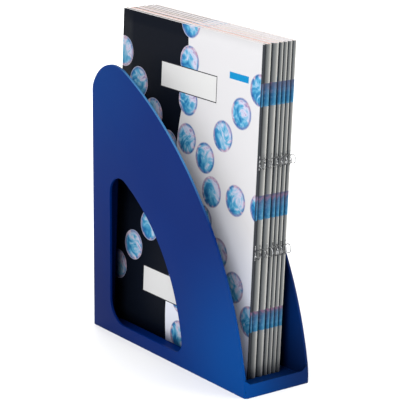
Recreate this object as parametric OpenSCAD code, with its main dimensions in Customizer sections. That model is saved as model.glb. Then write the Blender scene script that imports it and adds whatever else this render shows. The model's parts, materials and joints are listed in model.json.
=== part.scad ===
// Desk magazine file with seven saddle-stitched brochures standing in it.
// The shell is one moulding: two swept side walls with a window, a back wall,
// a raised floor and a low front lip. Each brochure has a folded cover, a block
// of folded sheets and two wire staples whose loops stand out of the spine.
// The origin is the middle of the footprint, +Z is up and the open front faces -Y.

/* [Shell] */
// Width over the two side walls
shell_w = 71; // [62:0.5:110]
// Depth from the front lip to the back wall
shell_d = 240; // [236:1:300]
// Height of the side walls at their highest point
shell_h = 258; // [230:1:312]
// Thickness of the moulded walls
wall_t = 2.4; // [1.8:0.1:3]
// Radius of the upright and bottom outside edges
edge_r = 3; // [3:0.25:5]
// Radius of the long sweep down the front of the side walls
sweep_r = 332; // [300:2:420]
// Radius of the crown where the sweep turns into the back edge
crown_r = 38; // [20:1:60]
// Height of the back wall
back_h = 216; // [150:1:218]
// Height of the top of the floor above the table
floor_z = 5; // [4:0.25:10]
// Height of the front lip
lip_h = 11.5; // [10.5:0.25:20]
// Length over which the floor curves up into the lip
ramp_l = 22; // [16:0.5:24]
// Radius where the lip turns up into the side walls
lip_corner_r = 7; // [3:0.5:14]

/* [Windows] */
// Height of the bottom edge of the side windows
window_z = 12; // [10:0.5:24]
// Height of the top of the side windows
window_top = 153.5; // [120:0.5:170]
// Distance of the window's back edge from the back of the shell
window_back = 30; // [18:0.5:60]
// Distance of the window's front round from the front of the shell
window_front = 106; // [96:0.5:120]
// Radius of the long sweep of the window
window_sweep_r = 172; // [160:1:240]
// Radius of the window's top corner
window_top_r = 17; // [10:0.5:26]
// Radius of the window's bottom front corner
window_front_r = 11; // [6:0.5:16]
// Radius of the window's bottom back corner
window_back_r = 22; // [10:0.5:28]

/* [Brochures] */
// Height of the sheets
sheet_h = 297; // [280:1:360]
// Width of a folded sheet
sheet_w = 210; // [190:1:212]
// Lean of all the brochures towards the right wall, in degrees
lean = 2.3; // [1:0.1:3]
// Thickness of the first brochure, on the left
brochure_1_t = 2.2; // [2:0.1:4]
// Thickness of the second brochure
brochure_2_t = 7.4; // [2:0.1:9]
// Thickness of the third brochure
brochure_3_t = 7.2; // [2:0.1:9]
// Thickness of the fourth brochure
brochure_4_t = 4; // [2:0.1:6]
// Thickness of the fifth brochure
brochure_5_t = 4.4; // [2:0.1:6]
// Thickness of the sixth brochure
brochure_6_t = 4.4; // [2:0.1:6]
// Thickness of the seventh brochure, on the right
brochure_7_t = 4.2; // [2:0.1:6]
// Thickness of the cover sheet
cover_t = 0.35; // [0.25:0.01:0.4]
// Space between neighbouring brochures
brochure_gap = 0.4; // [0.3:0.05:1]
// Space between the fore-edges and the back wall
fore_gap = 2.1; // [1:0.1:6]

/* [Staples] */
// Diameter of the staple wire
wire_d = 0.7; // [0.5:0.05:0.75]
// Distance between the two staples of a brochure
staple_pitch = 80; // [60:1:120]
// Height of the middle between the two staples above the foot of the sheets
staple_mid = 155; // [140:1:165]
// Radius of the loop, to the middle of the wire
loop_r = 3.9; // [3:0.1:6]
// Width of the staple over its two legs, to the middle of the wire
staple_w = 13; // [11:0.5:18]

/* [Clearances] */
// Space under and beside a standing brochure
rest_gap = 0.3; // [0.3:0.05:0.6]
// Space between the cover and the sheets inside it
paper_gap = 0.05; // [0.03:0.01:0.1]
// Extra width of the centre fold over the wire that lies in it
fold_gap = 0.2; // [0.1:0.05:0.3]
// Extra diameter of the holes that the staple legs pass through
leg_gap = 0.2; // [0.1:0.05:0.4]
// Space between the hinged front leaf and the fold it turns on
leaf_gap = 0.3; // [0.3:0.05:0.5]

/* [Hidden] */
$fn = 96;
over = 1;
front_y = -shell_d / 2;
back_y = shell_d / 2;
inner_w = shell_w - 2 * wall_t;

brochure_ts = [
    brochure_1_t, brochure_2_t, brochure_3_t, brochure_4_t,
    brochure_5_t, brochure_6_t, brochure_7_t
];
last = len(brochure_ts) - 1;
// Height of the lowest corner of every standing brochure
stand_z = floor_z + rest_gap;
// The fore-edges stand fore_gap in front of the back wall
fore_y = back_y - wall_t - fore_gap;
spine_y = fore_y - sheet_w;
// The last brochure leans on the top of the right wall
last_x = inner_w / 2 - rest_gap - (shell_h - stand_z) * tan(lean);
fold_w = wire_d + fold_gap;
// Bend radius of the staple's square corners, to the middle of the wire
bend_r = 0.45;
// The loop stands off the back of the staple by less than the wire, so they join
loop_lift = wire_d * 0.3;
wire_off = wire_d / 2 + 0.03;

// Thickness of the brochures to the right of number k, with their gaps
function beside(k) = k >= last ? 0 : brochure_ts[k + 1] + brochure_gap + beside(k + 1);
function brochure_x(k) = last_x - beside(k) / cos(lean);

// Centre of a circle of radius r that holds a circle of radius ra at a and one
// of radius rb at b, touching both from inside, on the right of the way from b to a
function sweep_centre(a, ra, b, rb, r) =
    let (d = norm(a - b), u = (a - b) / d)
    let (m = r - ra, n = r - rb)
    let (along = (n * n - m * m + d * d) / (2 * d))
    let (aside = sqrt(n * n - along * along))
    b + along * u + aside * [u.y, -u.x];

// The point where the circle of radius r at c touches a circle centred at p
function touch(c, r, p) = c + r * (p - c) / norm(p - c);

// The part of a circle of radius r at c that lies left of the chord from a to b
module sweep_segment(c, r, a, b) {
    away = (a + b) / 2 - c;
    out = r * away / norm(away);
    intersection() {
        translate(c) circle(r, $fn = 360);
        polygon([a, b, b + out, a + out]);
    }
}

crown_c = [back_y - crown_r, shell_h - crown_r];
front_foot = [front_y, 0];
sweep_c = sweep_centre(crown_c, crown_r, front_foot, 0, sweep_r);

// Side view of the shell, y to the right and z up
module side_outline() {
    top = touch(sweep_c, sweep_r, crown_c);
    polygon([
        front_foot, [back_y - edge_r, 0], [back_y, edge_r], [back_y, crown_c.y], top
    ]);
    translate([back_y - edge_r, edge_r]) circle(edge_r);
    translate(crown_c) circle(crown_r);
    sweep_segment(sweep_c, sweep_r, top, front_foot);
}

module window_outline() {
    right = back_y - window_back;
    top_c = [right - window_top_r, window_top - window_top_r];
    front_c = [front_y + window_front, window_z + window_front_r];
    back_c = [right - window_back_r, window_z + window_back_r];
    c = sweep_centre(top_c, window_top_r, front_c, window_front_r, window_sweep_r);
    top = touch(c, window_sweep_r, top_c);
    low = touch(c, window_sweep_r, front_c);
    polygon([
        low, [front_c.x, window_z], [back_c.x, window_z], [right, back_c.y],
        [right, top_c.y], top
    ]);
    translate(top_c) circle(window_top_r);
    translate(front_c) circle(window_front_r);
    translate(back_c) circle(window_back_r);
    sweep_segment(c, window_sweep_r, top, low);
}

// Stands a drawing of the y-z plane up and gives it the width w about x = 0
module across(w) {
    rotate([90, 0, 90]) linear_extrude(w, center = true) children();
}

// Plan of the shell, w wide from y0 to y1, with the upright edges rounded
module plan(w, y0, y1, r) {
    polygon([
        [-w / 2 + r, y0], [w / 2 - r, y0], [w / 2, y0 + r], [w / 2, y1 - r],
        [w / 2 - r, y1], [-w / 2 + r, y1], [-w / 2, y1 - r], [-w / 2, y0 + r]
    ]);
    for (x = [-w / 2 + r, w / 2 - r], y = [y0 + r, y1 - r]) translate([x, y]) circle(r);
}

// The room for the brochures, with its floor curving up to the lip
module room() {
    inner_r = edge_r - wall_t;
    lip_in = front_y + wall_t;
    rise = lip_h - floor_z;
    ramp_r = (ramp_l * ramp_l + rise * rise) / (2 * rise);
    top = shell_h + over;
    difference() {
        translate([0, 0, floor_z])
            linear_extrude(top) plan(inner_w, lip_in, back_y - wall_t, inner_r);
        across(shell_w)
            difference() {
                polygon([
                    [lip_in - over, 0], [lip_in + ramp_l, 0],
                    [lip_in + ramp_l, floor_z + ramp_r], [lip_in - over, floor_z + ramp_r]
                ]);
                translate([lip_in + ramp_l, floor_z + ramp_r]) circle(ramp_r, $fn = 180);
                translate([lip_in - 2 * over, lip_h]) square([ramp_l + 3 * over, ramp_r]);
            }
    }
}

// The way in over the lip, rounded up into the side walls
module front_way() {
    r = lip_corner_r;
    w = inner_w;
    top = shell_h + over;
    translate([0, front_y + wall_t + over, 0]) rotate([90, 0, 0])
        linear_extrude(wall_t + 2 * over) {
            polygon([
                [-w / 2 + r, lip_h], [w / 2 - r, lip_h], [w / 2, lip_h + r],
                [w / 2, top], [-w / 2, top], [-w / 2, lip_h + r]
            ]);
            for (x = [-w / 2 + r, w / 2 - r]) translate([x, lip_h + r]) circle(r);
        }
}

// The hollow under the floor, open to the table
module underside() {
    translate([0, 0, -over])
        linear_extrude(floor_z - wall_t + over)
            plan(inner_w, front_y + 2 * wall_t, back_y - wall_t, edge_r - wall_t);
}

module shell() {
    color("royalblue")
        difference() {
            intersection() {
                across(shell_w) side_outline();
                linear_extrude(shell_h) plan(shell_w, front_y, back_y, edge_r);
            }
            room();
            front_way();
            underside();
            across(shell_w + 2 * over) window_outline();
            translate([0, 0, back_h + shell_h / 2])
                cube([inner_w, 2 * shell_d, shell_h], center = true);
        }
}

// Puts a brochure's own frame in its place: x = 0 is its right face, which leans
// towards the right wall, y runs to the fore-edge and z runs up its spine
module standing(k) {
    translate([brochure_x(k), 0, stand_z]) rotate([0, lean, 0]) children();
}

// Plan of a folded sheet or block of sheets, inset on all sides but the fore-edge
module fold_plan(t, inset) {
    r = t / 2 - inset;
    translate([-t / 2, spine_y + t / 2]) circle(r, $fn = 48);
    translate([-t / 2 - r, spine_y + t / 2]) square([2 * r, sheet_w - t / 2]);
}

// Holes for the four legs of a brochure's two staples
module leg_holes(t) {
    for (s = [-1, 1], e = [-1, 1])
        translate([-t / 2, spine_y - over, staple_mid + s * staple_pitch / 2 + e * staple_w / 2])
            rotate([-90, 0, 0]) cylinder(h = over + t / 2, d = wire_d + leg_gap, $fn = 24);
}

// The folded cover. The first one ends at its fold, where its front leaf is hinged
module cover(k) {
    t = brochure_ts[k];
    standing(k)
        difference() {
            linear_extrude(sheet_h)
                difference() {
                    fold_plan(t, 0);
                    fold_plan(t, cover_t);
                    if (k == 0)
                        translate([-t - over, spine_y + t / 2])
                            square([over + cover_t + paper_gap / 2, sheet_w]);
                }
            leg_holes(t);
        }
}

// Block of folded sheets with the open centre fold that the staples close in
module sheets(k) {
    t = brochure_ts[k];
    standing(k)
        difference() {
            linear_extrude(sheet_h)
                difference() {
                    fold_plan(t, cover_t + paper_gap);
                    fold_plan(t, (t - fold_w) / 2);
                }
            leg_holes(t);
        }
}

// The front leaf of the first brochure's cover, set off a little from its fold
module front_leaf() {
    t = brochure_ts[0];
    standing(0)
        translate([-t, spine_y + t / 2 + leaf_gap, 0])
            cube([cover_t, sheet_w - t / 2 - leaf_gap, sheet_h]);
}

// A bent length of wire about c, from angle a0 on through the angle sweep
module wire_bend(c, r, a0, sweep) {
    translate(c) rotate(a0) rotate_extrude(angle = sweep, $fn = 64)
        translate([r, 0]) circle(d = wire_d, $fn = 24);
}

// A straight length of wire from a to b, in the plane of the staple
module wire_run(a, b) {
    way = b - a;
    translate(a) rotate([90, 0, atan2(way.y, way.x) + 90])
        cylinder(h = norm(way), d = wire_d, $fn = 24);
}

// One staple in its own plane: x out of the spine from the back of the wire,
// y along the spine, with its middle at y = 0 and its legs reach long
module staple(reach) {
    half = staple_w / 2;
    tuck = half / 3;
    translate([loop_r + loop_lift, 0]) rotate_extrude($fn = 96)
        translate([loop_r, 0]) circle(d = wire_d, $fn = 24);
    wire_run([0, bend_r - half], [0, half - bend_r]);
    for (m = [0, 1]) mirror([0, m, 0]) {
        wire_bend([-bend_r, half - bend_r], bend_r, 0, 90);
        wire_run([-bend_r, half], [bend_r - reach, half]);
        wire_bend([bend_r - reach, half - bend_r], bend_r, 90, 90);
        wire_run([-reach, half - bend_r], [-reach, tuck]);
    }
}

module staples(k) {
    t = brochure_ts[k];
    standing(k)
        for (s = [-1, 1])
            translate([-t / 2, spine_y - wire_off, staple_mid + s * staple_pitch / 2])
                rotate([90, 0, -90]) staple(t / 2 + wire_off + fold_gap / 2);
}

shell();
color("whitesmoke") cover(0);  // cover_1
color("gainsboro") front_leaf();  // front_leaf_1
color("mistyrose") sheets(0);  // sheets_1
color("silver") staples(0);  // staples_1
color("whitesmoke") cover(1);  // cover_2
color("mistyrose") sheets(1);  // sheets_2
color("silver") staples(1);  // staples_2
color("whitesmoke") cover(2);  // cover_3
color("mistyrose") sheets(2);  // sheets_3
color("silver") staples(2);  // staples_3
color("whitesmoke") cover(3);  // cover_4
color("mistyrose") sheets(3);  // sheets_4
color("silver") staples(3);  // staples_4
color("whitesmoke") cover(4);  // cover_5
color("mistyrose") sheets(4);  // sheets_5
color("silver") staples(4);  // staples_5
color("whitesmoke") cover(5);  // cover_6
color("mistyrose") sheets(5);  // sheets_6
color("silver") staples(5);  // staples_6
color("whitesmoke") cover(6);  // cover_7
color("mistyrose") sheets(6);  // sheets_7
color("silver") staples(6);  // staples_7
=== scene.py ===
import json
import math
import bmesh
import bpy
import numpy as np
from mathutils import Matrix, Vector


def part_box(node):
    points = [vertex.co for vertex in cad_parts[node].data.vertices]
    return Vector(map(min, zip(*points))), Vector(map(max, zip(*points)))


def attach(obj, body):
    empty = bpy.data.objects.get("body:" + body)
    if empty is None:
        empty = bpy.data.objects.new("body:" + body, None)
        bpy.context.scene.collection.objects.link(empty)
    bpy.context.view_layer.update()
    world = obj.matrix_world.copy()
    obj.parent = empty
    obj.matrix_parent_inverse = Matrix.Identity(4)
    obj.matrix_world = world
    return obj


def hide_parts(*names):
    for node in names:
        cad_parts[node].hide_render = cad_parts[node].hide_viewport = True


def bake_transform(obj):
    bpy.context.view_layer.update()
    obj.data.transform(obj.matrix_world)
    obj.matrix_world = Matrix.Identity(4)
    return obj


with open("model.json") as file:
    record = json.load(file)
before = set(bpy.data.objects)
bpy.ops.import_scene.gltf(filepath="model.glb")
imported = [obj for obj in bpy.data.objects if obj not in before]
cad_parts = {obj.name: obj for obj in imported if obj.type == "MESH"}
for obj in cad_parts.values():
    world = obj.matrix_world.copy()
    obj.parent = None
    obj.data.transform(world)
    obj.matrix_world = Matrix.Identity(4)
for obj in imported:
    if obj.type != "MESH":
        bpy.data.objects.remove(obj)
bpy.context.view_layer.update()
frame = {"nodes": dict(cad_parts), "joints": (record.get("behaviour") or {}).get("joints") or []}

# ---- Camera -------------------------------------------------------------------
# Seen from the front left and a little above, from far enough away for a long
# lens, so that the upright edges stay almost parallel.
aim = Vector((0.0237, 0.0294, 0.1340))
distance = 1.79
azimuth, elevation, roll = math.radians(-36.14), math.radians(15.86), math.radians(0.43)
back = Vector((
    math.sin(azimuth) * math.cos(elevation),
    -math.cos(azimuth) * math.cos(elevation),
    math.sin(elevation),
))
camera_data = bpy.data.cameras.new("camera")
camera_data.lens = 175.5
camera_data.sensor_width = 36
camera_data.clip_end = 20
camera = bpy.data.objects.new("camera", camera_data)
camera.location = aim + back * distance
camera.rotation_mode = "QUATERNION"
turn = (-back).to_track_quat("-Z", "Y").to_matrix() @ Matrix.Rotation(roll, 3, "Z")
camera.rotation_quaternion = turn.to_quaternion()
bpy.context.scene.collection.objects.link(camera)
bpy.context.scene.camera = camera
bpy.context.scene.view_settings.view_transform = "Standard"

# ---- Table and light ------------------------------------------------------------
# A plain white table in a white room. The main soft lamp stands over the viewer's
# left shoulder, a weaker one at the right front, and one over the table behind.
class Wiring:
    """Adds nodes to a tree. What goes into a socket is a number, a colour or a socket."""

    def __init__(self, tree):
        self.nodes, self.links = tree.nodes, tree.links

    def feed(self, socket, value):
        if isinstance(value, bpy.types.NodeSocket):
            self.links.new(value, socket)
        else:
            socket.default_value = value

    def node(self, kind, **inputs):
        made = self.nodes.new(kind)
        for name, value in inputs.items():
            self.feed(made.inputs[name], value)
        return made

    def sum(self, kind, *values):
        made = self.node("ShaderNodeMath")
        made.operation = kind
        for socket, value in zip(made.inputs, values):
            self.feed(socket, value)
        return made.outputs[0]

    def product(self, first, *others):
        for other in others:
            first = self.sum("MULTIPLY", first, other)
        return first


class Finish(Wiring):
    """A surface finish, put together from nodes round a Principled shader."""

    def __init__(self, name):
        self.material = bpy.data.materials.new(name)
        self.material.use_nodes = True
        super().__init__(self.material.node_tree)
        self.shader = self.nodes["Principled BSDF"]

    def set(self, name, value):
        self.feed(self.shader.inputs[name], value)

    def place(self):
        return self.node("ShaderNodeTexCoord").outputs["Object"]

    def noise(self, place, scale, detail=2, distortion=0):
        made = self.node("ShaderNodeTexNoise", Vector=place, Scale=scale, Detail=detail)
        made.inputs["Distortion"].default_value = distortion
        return made.outputs["Fac"]

    def remap(self, value, low, high, to_low=0, to_high=1, eased=False):
        made = self.node("ShaderNodeMapRange", Value=value)
        made.interpolation_type = "SMOOTHSTEP" if eased else "LINEAR"
        ends = (("From Min", low), ("From Max", high), ("To Min", to_low), ("To Max", to_high))
        for name, number in ends:
            made.inputs[name].default_value = number
        return made.outputs["Result"]

    def between(self, value, low, high):
        above = self.sum("GREATER_THAN", value, low)
        return self.product(above, self.sum("LESS_THAN", value, high))

    def paint(self, share, under, over):
        made = self.node("ShaderNodeMix")
        made.data_type = "RGBA"
        for slot, value in ((0, share), (6, under), (7, over)):
            self.feed(made.inputs[slot], value)
        return made.outputs[2]

    def tones(self, value, *stops, steps="LINEAR"):
        made = self.node("ShaderNodeValToRGB", Fac=value)
        ramp = made.color_ramp
        ramp.interpolation = steps
        for end, (spot, colour) in zip(ramp.elements, (stops[0], stops[-1])):
            end.position = spot
            end.color = (*colour, 1)
        for spot, colour in stops[1:-1]:
            ramp.elements.new(spot).color = (*colour, 1)
        return made.outputs["Color"]

    def relief(self, height, strength, distance=0.0002):
        bump = self.node("ShaderNodeBump", Strength=strength, Distance=distance, Height=height)
        self.set("Normal", bump.outputs["Normal"])


table_mesh = bpy.data.meshes.new("table")
table_mesh.from_pydata([(-4, -4, 0), (4, -4, 0), (4, 4, 0), (-4, 4, 0)], [], [(0, 1, 2, 3)])
table_top = bpy.data.objects.new("table", table_mesh)
bpy.context.scene.collection.objects.link(table_top)
table_white = Finish("table_white")
table_white.set("Base Color", (0.93, 0.93, 0.93, 1))
table_white.set("Roughness", 0.9)
table_mesh.materials.append(table_white.material)

room = bpy.data.worlds.new("room")
bpy.context.scene.world = room
room.use_nodes = True
room_light = room.node_tree.nodes["Background"]
room_light.inputs["Color"].default_value = (1, 1, 1, 1)
room_light.inputs["Strength"].default_value = 0.78

for name, place, aimed, size, power in (
    ("main_lamp", (-1.7, -0.9, 1.7), (0, 0, 0.13), 1.4, 46),
    ("side_lamp", (1.3, -1.9, 1.0), (0, 0, 0.13), 1.0, 14),
    ("table_lamp", (1.6, 2.0, 2.2), (1.5, 1.9, 0), 2.6, 90),
):
    lamp_data = bpy.data.lights.new(name, "AREA")
    lamp_data.size = size
    lamp_data.energy = power
    lamp = bpy.data.objects.new(name, lamp_data)
    lamp.location = place
    lamp.rotation_mode = "QUATERNION"
    lamp.rotation_quaternion = (Vector(aimed) - lamp.location).to_track_quat("-Z", "Y")
    bpy.context.scene.collection.objects.link(lamp)

# ---- Shell ----------------------------------------------------------------------
# One injection moulding in cobalt blue polystyrene. It is cut from a side profile,
# as its mould is parted, and every edge is rounded a little.
def finished(obj, name):
    """Bakes an object's modifiers into its mesh."""
    bpy.context.view_layer.update()
    graph = bpy.context.evaluated_depsgraph_get()
    mesh = bpy.data.meshes.new_from_object(obj.evaluated_get(graph), depsgraph=graph)
    mesh.name = name
    obj.modifiers.clear()
    obj.data = mesh


def new_piece(name, mesh):
    made = bpy.data.objects.new(name, mesh)
    bpy.context.scene.collection.objects.link(made)
    return made


wall, corner, floor_at, lip_at, ramp, lip_corner = 0.0024, 0.003, 0.005, 0.0115, 0.022, 0.007
sweep_r, crown_r, back_top, edge_round = 0.332, 0.038, 0.216, 0.0003
low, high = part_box("shell")
half_w, front, rear, top = high[0], low[1], high[1], high[2]
half_in, lip_in, back_in = half_w - wall, front + wall, rear - wall
quarter_turn = math.pi / 2


def arc(centre, radius, start, sweep, steps):
    angles = [start + sweep * i / steps for i in range(steps + 1)]
    return [(centre[0] + radius * math.cos(a), centre[1] + radius * math.sin(a)) for a in angles]


def brow(upper, upper_r, foot, foot_r, radius, steps):
    """The long arc over an upper and a lower round, which it touches, from the top down."""
    upper, foot = Vector(upper), Vector(foot)
    gap = (upper - foot).length
    way = (upper - foot) / gap
    m, n = radius - upper_r, radius - foot_r
    run = (n * n - m * m + gap * gap) / (2 * gap)
    centre = foot + way * run + Vector((way.y, -way.x)) * math.sqrt(n * n - run * run)
    begin = math.atan2(upper.y - centre.y, upper.x - centre.x)
    end = math.atan2(foot.y - centre.y, foot.x - centre.x)
    return arc(centre, radius, begin, end - begin, steps), begin, end


def prism(outline, axes, start, end):
    """A closed solid: an outline on two axes, drawn out along the third."""
    along = ({0, 1, 2} - set(axes)).pop()
    made = bmesh.new()
    ends = []
    for depth in (start, end):
        ring = []
        for u, v in outline:
            place = [0, 0, 0]
            place[axes[0]], place[axes[1]], place[along] = u, v, depth
            ring.append(made.verts.new(place))
        ends.append(ring)
        made.faces.new(ring)
    for i in range(len(outline)):
        j = (i + 1) % len(outline)
        made.faces.new((ends[0][i], ends[0][j], ends[1][j], ends[1][i]))
    bmesh.ops.recalc_face_normals(made, faces=made.faces)
    mesh = bpy.data.meshes.new("prism")
    made.to_mesh(mesh)
    made.free()
    return new_piece("prism", mesh)


def rounded_plan(half, y0, y1, radius, steps):
    outline = []
    corners = ((half, y0, -1), (half, y1, 0), (-half, y1, 1), (-half, y0, 2))
    for x, y, turns in corners:
        centre = (x - math.copysign(radius, x), y + (radius if y == y0 else -radius))
        outline += arc(centre, radius, turns * quarter_turn, quarter_turn, steps)
    return outline


crown = (rear - crown_r, top - crown_r)
sweep, begin, end = brow(crown, crown_r, (front, 0), 0, sweep_r, 110)
side = arc((rear - corner, corner), corner, -quarter_turn, quarter_turn, 6)
side += arc(crown, crown_r, 0, begin, 40) + sweep[1:]
shell = prism(side, (1, 2), -half_w, half_w)

rise = lip_at - floor_at
ramp_r = (ramp * ramp + rise * rise) / (2 * rise)
ramp_turn = math.asin(ramp / ramp_r)
ramp_centre = (lip_in + ramp, floor_at + ramp_r)
room_side = arc(ramp_centre, ramp_r, -quarter_turn - ramp_turn, ramp_turn, 14)
room_side += [(back_in, floor_at), (back_in, 2 * top), (lip_in, 2 * top)]
in_x, in_z = half_in - lip_corner, lip_at + lip_corner
way_in = arc((-in_x, in_z), lip_corner, math.pi, quarter_turn, 10)
way_in += arc((in_x, in_z), lip_corner, -quarter_turn, quarter_turn, 10)
way_in += [(half_in, 2 * top), (-half_in, 2 * top)]

high_r, front_r, back_r, hole_sweep_r = 0.017, 0.011, 0.022, 0.172
hole_foot, hole_top, hole_back, hole_front = 0.012, 0.1535, rear - 0.030, front + 0.106
high_round = (hole_back - high_r, hole_top - high_r)
front_round = (hole_front, hole_foot + front_r)
sweep, begin, end = brow(high_round, high_r, front_round, front_r, hole_sweep_r, 56)
back_round = (hole_back - back_r, hole_foot + back_r)
window = arc(back_round, back_r, -quarter_turn, quarter_turn, 16)
window += arc(high_round, high_r, 0, begin, 18) + sweep[1:]
window += arc(front_round, front_r, end, 3 * quarter_turn - end, 14)[1:]

behind = [(-half_in, 0), (half_in, 0), (half_in, 1), (-half_in, 1)]
hollow = rounded_plan(half_in, lip_in + wall, back_in, corner - wall, 3)
plan = rounded_plan(half_w, front, rear, corner, 6)
for kind, cutter in (
    ("INTERSECT", prism(plan, (0, 1), -wall, 2 * top)),
    ("DIFFERENCE", prism(room_side, (1, 2), -half_in, half_in)),
    ("DIFFERENCE", prism(way_in, (0, 2), front - wall, lip_in + wall)),
    ("DIFFERENCE", prism(behind, (0, 1), back_top, 2 * top)),
    ("DIFFERENCE", prism(hollow, (0, 1), -wall, floor_at - wall)),
    ("DIFFERENCE", prism(window, (1, 2), -2 * half_w, 2 * half_w)),
):
    step = shell.modifiers.new("step", "BOOLEAN")
    step.operation = kind
    step.solver = "EXACT"
    step.object = cutter
    finished(shell, "file_shell")
    bpy.data.objects.remove(cutter)
shell.name = "file_shell"
work = bmesh.new()
work.from_mesh(shell.data)
bmesh.ops.remove_doubles(work, verts=work.verts, dist=2e-5)
flat_enough = math.radians(0.05)
bmesh.ops.dissolve_limit(work, angle_limit=flat_enough, verts=work.verts, edges=work.edges)
work.to_mesh(shell.data)
work.free()
for face in shell.data.polygons:
    face.use_smooth = True
rounded = shell.modifiers.new("rounded_edges", "BEVEL")
rounded.width = edge_round
rounded.segments = 3
rounded.limit_method = "ANGLE"
rounded.angle_limit = math.radians(35)
rounded.harden_normals = True
rounded.use_clamp_overlap = False
finished(shell, "file_shell")
for point in shell.data.vertices:
    point.co.x = max(-half_w, min(half_w, point.co.x))

plastic = Finish("cobalt_plastic")
plastic.set("Specular IOR Level", 0.03)
place = plastic.place()
cloud = plastic.noise(place, 9, 3)
plastic.set("Roughness", plastic.remap(cloud, 0, 1, 0.30, 0.42))
hue = plastic.tones(cloud, (0.3, (0.0005, 0.014, 0.108)), (0.7, (0.001, 0.017, 0.122)))
# painted light and shade: the left wall's front foot is painted brighter blue; its back and the
# right wall's inside by the lip are painted darker, where shade falls
for spot, reach, strength, tone in (
    ((-half_w, front, 0.02), 0.14, 1.0, (0.0, 0.046, 0.215, 1)),
    ((-half_w, rear, top), 0.13, 0.7, (0.0, 0.030, 0.155, 1)),
    ((-half_w, rear, 0.03), 0.12, 0.7, (0.001, 0.006, 0.062, 1)),
    ((half_w, front, 0.02), 0.085, 0.85, (0.003, 0.010, 0.050, 1)),
    ((half_w, front + 0.03, 0.10), 0.07, 0.8, (0.002, 0.008, 0.040, 1)),
):
    apart = plastic.node("ShaderNodeVectorMath")
    apart.operation = "DISTANCE"
    plastic.feed(apart.inputs[0], place)
    plastic.feed(apart.inputs[1], spot)
    painted_light_and_shade = plastic.remap(apart.outputs["Value"], 0, reach, strength, 0, eased=True)
    hue = plastic.paint(painted_light_and_shade, hue, tone)

# a painted highlight: the upper half of the sweep's narrow edge is painted brighter, as if it
# caught the light
normal = plastic.node("ShaderNodeNewGeometry").outputs["Normal"]
upward = plastic.node("ShaderNodeSeparateXYZ", Vector=normal).outputs["Z"]
height = plastic.node("ShaderNodeSeparateXYZ", Vector=place).outputs["Z"]
painted_edge_highlight = plastic.product(
    plastic.remap(upward, 0.45, 0.60),
    plastic.remap(upward, 0.97, 0.88),
    plastic.remap(height, 0.14, 0.19),
)
hue = plastic.paint(painted_edge_highlight, hue, (0.05, 0.17, 0.36, 1))

# painted shade: the plastic is painted darker where the shell and its contents shut it in and
# shade falls
shade_probe = plastic.node("ShaderNodeAmbientOcclusion", Distance=0.07)
shade_probe.samples = 8
unshaded_share = plastic.remap(shade_probe.outputs["AO"], 0.06, 0.50)
plastic.set("Base Color", plastic.paint(unshaded_share, (0.0005, 0.0012, 0.007, 1), hue))
plastic.relief(plastic.noise(place, 900), 0.05)
shell.data.materials.clear()
shell.data.materials.append(plastic.material)
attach(shell, "root")
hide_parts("shell")

# ---- Brochure covers --------------------------------------------------------------
# Each cover is one sheet of coated paper folded round its brochure. All seven lean
# alike, so they are made upright in a frame of their own and turned together.
lift = next(j for j in frame["joints"] if j["name"] == "lift_out_1")
lean = math.atan2(lift["axis"][0], lift["axis"][2])
leaning = Matrix.Rotation(lean, 4, "Y")
count = 7
paper_t = 0.00035


def upright_box(node):
    mesh = frame["nodes"][node].data
    places = np.array([v.co[:] for v in mesh.vertices]) @ np.array(leaning.to_3x3())
    return places.min(0), places.max(0)


def fold_path(half, length, leaf_steps, arc_steps):
    """Plan of a fold as (x, y, way along it from the spine): y is 0 at the fore-edge."""
    spine = half - length
    quarter = half * quarter_turn
    path = []
    for i in range(leaf_steps):
        y = spine * i / leaf_steps
        path.append((-half, y, spine - quarter - y))
    for i in range(arc_steps + 1):
        a = math.pi + math.pi * i / arc_steps
        around = half * (a - 3 * quarter_turn)
        path.append((half * math.cos(a), spine + half * math.sin(a), around))
    for i in range(1, leaf_steps + 1):
        y = spine * i / leaf_steps
        path.append((half, spine - y, quarter - y))
    return path


def folded_mesh(name, half, length, height, leaf_steps, arc_steps, rows):
    """A folded sheet. Its UV map is in metres: along from the spine's middle, and up."""
    path = fold_path(half, length, leaf_steps, arc_steps)
    wide = len(path)
    verts = [(x, y, height * r / rows) for r in range(rows + 1) for x, y, s in path]
    faces = [
        (r * wide + i, r * wide + i + 1, (r + 1) * wide + i + 1, (r + 1) * wide + i)
        for r in range(rows) for i in range(wide - 1)
    ]
    mesh = bpy.data.meshes.new(name)
    mesh.from_pydata(verts, [], faces)
    layer = mesh.uv_layers.new(name="Print")
    for loop in mesh.loops:
        r, i = divmod(loop.vertex_index, wide)
        layer.data[loop.index].uv = (path[i][2], height * r / rows)
    return mesh


boxes = {}
for k in range(1, count + 1):
    low, high = upright_box(f"cover_{k}")
    if k == 1:
        low = np.minimum(low, upright_box("front_leaf_1")[0])
    boxes[k] = low, high


def place_of(k):
    low, high = boxes[k]
    return leaning @ Matrix.Translation(((low[0] + high[0]) / 2, high[1], low[2]))


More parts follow.
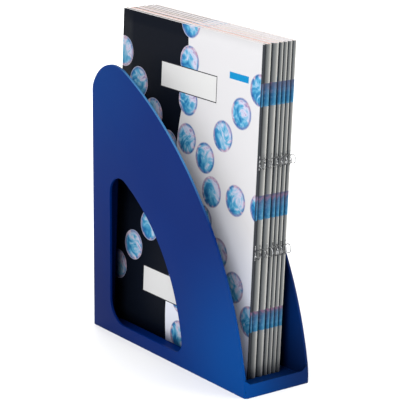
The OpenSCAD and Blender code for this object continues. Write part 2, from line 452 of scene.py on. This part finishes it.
def glass_discs(art, flat, side, up, ground):
    """Glassy discs in rows on eight spokes about the middle of the leaf."""
    middle, radius, first, step, eighth = (0.105, 0.155), 0.0142, 0.040, 0.035, math.pi / 4
    x = art.sum("SUBTRACT", side, middle[0])
    y = art.sum("SUBTRACT", up, middle[1])
    reach = art.sum("SQRT", art.sum("ADD", art.product(x, x), art.product(y, y)))
    bearing = art.sum("ARCTAN2", y, x)
    spoke = art.product(art.sum("ROUND", art.sum("DIVIDE", bearing, eighth)), eighth)
    out = art.product(reach, art.sum("COSINE", art.sum("SUBTRACT", bearing, spoke)))
    number = art.sum("ROUND", art.sum("DIVIDE", art.sum("SUBTRACT", out, first), step))
    number = art.sum("MAXIMUM", number, 0)
    centre = art.sum("ADD", art.product(number, step), first)
    dx = art.sum("SUBTRACT", x, art.product(centre, art.sum("COSINE", spoke)))
    dy = art.sum("SUBTRACT", y, art.product(centre, art.sum("SINE", spoke)))
    far = art.sum("SQRT", art.sum("ADD", art.product(dx, dx), art.product(dy, dy)))
    share = art.sum("DIVIDE", far, radius)

    marble = art.noise(flat, 70, 4, 2.2)
    swirl = art.product(art.sum("SUBTRACT", marble, 0.5), 1.6)
    slope = art.sum("SUBTRACT", art.product(dy, 0.35), art.product(dx, 0.5))
    slope = art.sum("DIVIDE", slope, radius)
    depth = art.sum("ADD", art.sum("ADD", 0.50, art.product(slope, 0.62)), swirl)
    glass = art.tones(
        depth,
        (0.00, (0.010, 0.085, 0.24)),
        (0.28, (0.030, 0.20, 0.38)),
        (0.46, (0.10, 0.33, 0.50)),
        (0.62, (0.30, 0.42, 0.56)),
        (0.78, (0.50, 0.48, 0.60)),
        (1.00, (0.24, 0.20, 0.36)),
    )
    film = art.tones(
        marble,
        (0.38, (0.02, 0.10, 0.26)),
        (0.50, (0.13, 0.17, 0.34)),
        (0.58, (0.36, 0.20, 0.26)),
        (0.66, (0.50, 0.42, 0.50)),
    )
    rim = art.tones(share, (0.76, (0, 0, 0)), (0.90, (0.9, 0.9, 0.9)))
    disc = art.paint(rim, glass, film)
    outline = art.product(art.sum("GREATER_THAN", share, 0.95), 0.6)
    disc = art.paint(outline, disc, (0.42, 0.42, 0.50, 1))
    off_spine = art.sum("GREATER_THAN", side, 0.001)
    inside = art.product(art.sum("LESS_THAN", share, 1), off_spine)
    return art.paint(inside, ground, disc), marble


def blank_panels(art, on_front, side, up, ground):
    """Two empty label panels in a thin dark line, and a plain blue bar by the spine."""
    line = 0.0009
    for left, right, low, high in (
        (0.0635, 0.148, 0.235, 0.259),
        (0.050, 0.1655, 0.037, 0.0625),
    ):
        for inset, tone in ((0, (0.02, 0.02, 0.025, 1)), (line, (0.55, 0.55, 0.55, 1))):
            across = art.between(side, left + inset, right - inset)
            panel = art.product(across, art.between(up, low + inset, high - inset), on_front)
            ground = art.paint(panel, ground, tone)
    bar = art.product(art.between(side, 0.019, 0.046), art.between(up, 0.2605, 0.2665), on_front)
    return art.paint(bar, ground, (0.005, 0.20, 0.42, 1))


def spine_print_and_shade(art, flat, along, up, ground):
    """A grey spine with three blue bands, in painted shade across the fold: charcoal at the
    front side, pale at the back.
    """
    half = art.node("ShaderNodeAttribute")
    half.attribute_name = "half_thickness"
    arc_length = art.product(half.outputs["Fac"], quarter_turn)
    past_fold = art.sum("ADD", arc_length, 0.0004)
    on_spine = art.sum("LESS_THAN", art.sum("ABSOLUTE", along), past_fold)
    turned = art.sum("ADD", art.sum("DIVIDE", along, art.product(arc_length, 2)), 0.5)
    # painted shade: the grey runs from charcoal at the front side of the fold to pale at the
    # back, as light falls on the round spine
    grey = art.tones(
        turned,
        (0.05, (0.018, 0.021, 0.026)),
        (0.17, (0.040, 0.045, 0.052)),
        (0.27, (0.105, 0.112, 0.116)),
        (0.42, (0.160, 0.165, 0.163)),
        (0.52, (0.27, 0.27, 0.26)),
        (0.66, (0.56, 0.56, 0.53)),
    )
    # painted shade: a thin spine lies in shade and is painted charcoal all over
    thin = art.sum("LESS_THAN", half.outputs["Fac"], 0.0015)
    ground = art.paint(on_spine, ground, art.paint(thin, grey, (0.035, 0.038, 0.045, 1)))

    # the printed bands get the same painted shade across the fold
    blue = art.tones(
        turned,
        (0.06, (0.005, 0.020, 0.045)),
        (0.36, (0.012, 0.085, 0.19)),
        (0.64, (0.06, 0.23, 0.38)),
    )
    blotch = art.remap(art.noise(flat, 260, 3), 0.46, 0.62)
    # painted light: the bands' blotches are painted paler towards the back side of the fold
    pale = art.product(blotch, turned, 0.55)
    for low, high in ((0.2435, 0.2635), (0.1440, 0.1655), (0.0430, 0.0615)):
        band_height = art.sum("DIVIDE", art.sum("SUBTRACT", up, low), high - low)
        dusk = art.product(art.sum("POWER", band_height, 2.5), 0.75)
        reddish = art.product(blotch, art.sum("POWER", band_height, 3), 0.6)
        tone = art.paint(pale, blue, (0.16, 0.33, 0.44, 1))
        tone = art.paint(dusk, tone, (0.075, 0.065, 0.095, 1))
        tone = art.paint(reddish, tone, (0.22, 0.075, 0.13, 1))
        ground = art.paint(art.product(art.between(up, low, high), on_spine), ground, tone)
    return ground


def printed_cover():
    art = Finish("printed_cover")
    unfolded = art.node("ShaderNodeUVMap")
    unfolded.uv_map = "Print"
    flat = unfolded.outputs[0]
    measures = art.node("ShaderNodeSeparateXYZ", Vector=flat).outputs
    along, up = measures["X"], measures["Y"]
    side = art.sum("ABSOLUTE", along)
    on_front = art.sum("LESS_THAN", along, 0)

    # painted light: the white ground is painted lighter and cooler towards the foot, to lift the
    # shade that falls there
    fall = art.sum("SUBTRACT", art.sum("ADD", 0.128, art.product(side, 0.75)), up)
    painted_foot_light = art.product(art.sum("MINIMUM", art.sum("MAXIMUM", fall, 0), 0.05), 13)
    ground = art.paint(painted_foot_light, (0.54, 0.535, 0.55, 1), (0.66, 0.69, 0.79, 1))

    # a black field covers the fore-edge side of the front leaf, up to a waved edge
    wave = art.product(art.sum("SINE", art.product(up, 42)), 0.004)
    edge = art.sum("ADD", art.sum("ADD", wave, 0.126), art.product(up, -0.055))
    black = art.product(art.sum("GREATER_THAN", side, edge), on_front)
    ground = art.paint(black, ground, (0.003, 0.0045, 0.009, 1))

    ground, marble = glass_discs(art, flat, side, up, ground)
    ground = blank_panels(art, on_front, side, up, ground)
    art.set("Base Color", spine_print_and_shade(art, flat, along, up, ground))
    art.set("Specular IOR Level", 0.03)
    art.set("Roughness", art.remap(marble, 0, 1, 0.38, 0.52))
    art.relief(art.noise(flat, 500), 0.04)
    return art.material


cover_print_and_shade = printed_cover()
core = Finish("cover_core")
core.set("Roughness", 0.7)
core.set("Specular IOR Level", 0.1)
place = core.place()
pulp = core.noise(place, 300)
core.set("Base Color", core.tones(pulp, (0, (0.52, 0.50, 0.50)), (1, (0.60, 0.59, 0.59))))
core.relief(core.noise(place, 1200), 0.10)
leaf_steps, spine_steps, rows = 12, 16, 24
for k in range(1, count + 1):
    low, high = boxes[k]
    half = (high[0] - low[0]) / 2
    length, height = high[1] - low[1], high[2] - low[2]
    mesh = folded_mesh(f"cover_sheet_{k}", half, length, height, leaf_steps, spine_steps, rows)
    thick = mesh.attributes.new("half_thickness", "FLOAT", "POINT")
    thick.data.foreach_set("value", [half] * len(mesh.vertices))
    cover = new_piece(f"cover_sheet_{k}", mesh)
    solid = cover.modifiers.new("paper", "SOLIDIFY")
    solid.thickness = paper_t
    solid.offset = -1
    solid.material_offset = 1
    solid.material_offset_rim = 1
    mesh.materials.append(cover_print_and_shade)
    mesh.materials.append(core.material)
    for face in mesh.polygons:
        face.use_smooth = True
    finished(cover, f"cover_sheet_{k}")
    cover.data.transform(place_of(k))
    if k == 1:
        end = leaning @ Vector((low[0] + paper_t, low[1] + half, low[2]))
        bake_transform(cover)
        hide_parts("cover_1", "front_leaf_1")
    else:
        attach(cover, f"brochure_{k}")
        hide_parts(f"cover_{k}")

# ---- Folded sheets ------------------------------------------------------------------
# The text sheets are folded into one another round the open centre fold, trimmed
# flush at the fore-edge. A nodes tree nests one folded sheet as often as they fit.
nested = bpy.data.node_groups.new("nested_sheets", "GeometryNodeTree")
nested.interface.new_socket("Geometry", in_out="INPUT", socket_type="NodeSocketGeometry")
for label, kind in (
    ("Count", "NodeSocketInt"), ("Pitch", "NodeSocketFloat"), ("Half", "NodeSocketFloat"),
    ("Length", "NodeSocketFloat"), ("Uneven", "NodeSocketFloat"), ("Seed", "NodeSocketInt"),
    ("Material", "NodeSocketMaterial"),
):
    nested.interface.new_socket(label, in_out="INPUT", socket_type=kind)
nested.interface.new_socket("Geometry", in_out="OUTPUT", socket_type="NodeSocketGeometry")

nest = Wiring(nested)
given = nest.node("NodeGroupInput").outputs
index = nest.node("GeometryNodeInputIndex").outputs[0]
inset = nest.product(index, given["Pitch"])
scale = nest.node(
    "ShaderNodeCombineXYZ",
    X=nest.sum("SUBTRACT", 1, nest.sum("DIVIDE", inset, given["Half"])),
    Y=nest.sum("SUBTRACT", 1, nest.sum("DIVIDE", inset, given["Length"])),
    Z=1,
).outputs[0]
chance = nest.node("FunctionNodeRandomValue", Seed=given["Seed"])
chance.data_type = "FLOAT"
nest.feed(chance.inputs[2], nest.product(given["Uneven"], -1))
nest.feed(chance.inputs[3], 0)
drop = nest.node("ShaderNodeCombineXYZ", Z=chance.outputs[1]).outputs[0]
points = nest.node("GeometryNodePoints", Count=given["Count"], Position=drop).outputs[0]
copies = nest.node(
    "GeometryNodeInstanceOnPoints", Points=points, Instance=given["Geometry"], Scale=scale
).outputs[0]
real = nest.node("GeometryNodeRealizeInstances", Geometry=copies).outputs[0]
painted = nest.node("GeometryNodeSetMaterial", Geometry=real, Material=given["Material"])
nest.feed(nest.node("NodeGroupOutput").inputs[0], painted.outputs[0])

pages = Finish("text_paper")
pages.set("Roughness", 0.75)
pages.set("Specular IOR Level", 0.2)
any_sheet = pages.node("ShaderNodeNewGeometry").outputs["Random Per Island"]
edge_tint = pages.tones(
    any_sheet,
    (0.00, (0.66, 0.60, 0.605)),
    (0.45, (0.68, 0.66, 0.665)),
    (0.90, (0.62, 0.44, 0.30)),
    (0.95, (0.36, 0.34, 0.36)),
    steps="CONSTANT",
)

# some sheets of the left brochures have a red print that runs over their edge
place = pages.place()
across = pages.node("ShaderNodeVectorMath")
across.operation = "DOT_PRODUCT"
pages.feed(across.inputs[0], place)
pages.feed(across.inputs[1], (math.cos(lean), 0, -math.sin(lean)))
bundles = pages.node("ShaderNodeTexNoise")
bundles.noise_dimensions = "1D"
for name, value in (("W", across.outputs["Value"]), ("Scale", 620), ("Detail", 1)):
    pages.feed(bundles.inputs[name], value)
reddened = pages.product(
    pages.remap(bundles.outputs["Fac"], 0.56, 0.66),
    pages.remap(across.outputs["Value"], 0.004, -0.004),
)
pages.set("Base Color", pages.paint(reddened, edge_tint, (0.60, 0.12, 0.06, 1)))
pages.relief(pages.noise(place, 1200), 0.12)

pitch, leaf_t, cover_clear, centre_gap, uneven = 0.00026, 0.00018, 0.00045, 0.00045, 0.00035
leaf_steps, fold_steps, rows, first_seed = 2, 10, 2, 3
for k in range(1, count + 1):
    low, high = boxes[k]
    half = (high[0] - low[0]) / 2 - cover_clear
    length, height = high[1] - low[1] - cover_clear, high[2] - low[2]
    fits = max(1, int((half - centre_gap) / pitch))
    outer = (half - leaf_t / 2, length - leaf_t / 2, height)
    mesh = folded_mesh(f"text_sheets_{k}", *outer, leaf_steps, fold_steps, rows)
    block = new_piece(f"text_sheets_{k}", mesh)
    nodes_step = block.modifiers.new("nested", "NODES")
    nodes_step.node_group = nested
    sizes = {
        "Count": fits, "Pitch": pitch, "Half": half, "Length": length,
        "Uneven": uneven, "Seed": first_seed + k, "Material": pages.material,
    }
    for item in nested.interface.items_tree:
        if item.in_out == "INPUT" and item.name in sizes:
            nodes_step[item.identifier] = sizes[item.name]
    leaf = block.modifiers.new("leaf", "SOLIDIFY")
    leaf.thickness = leaf_t
    leaf.offset = 0
    finished(block, f"text_sheets_{k}")
    block.data.transform(place_of(k))
    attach(block, f"brochure_{k}")
    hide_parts(f"sheets_{k}")

# ---- Staples --------------------------------------------------------------------
# Round zinc-coated stitching wire, two to a brochure. It stands out of the spine as a
# loop and its legs close in the centre fold. Its colour is painted in bright glints and
# dark dull patches, as painted highlights.
wire = Finish("stitching_wire")
# this noise paints the wire's glints and dark spots into its colour
drawn = wire.noise(wire.place(), 520, 3)
wire.set("Metallic", 1)
wire.set("Base Color", wire.tones(drawn, (0.42, (0.10, 0.10, 0.11)), (0.60, (0.52, 0.53, 0.54))))
wire.set("Roughness", wire.remap(drawn, 0, 1, 0.12, 0.42))
wire.relief(drawn, 0.25, 0.00005)
for k in range(1, count + 1):
    wires = frame["nodes"][f"staples_{k}"]
    for held in wires.material_slots:
        held.material = wire.material
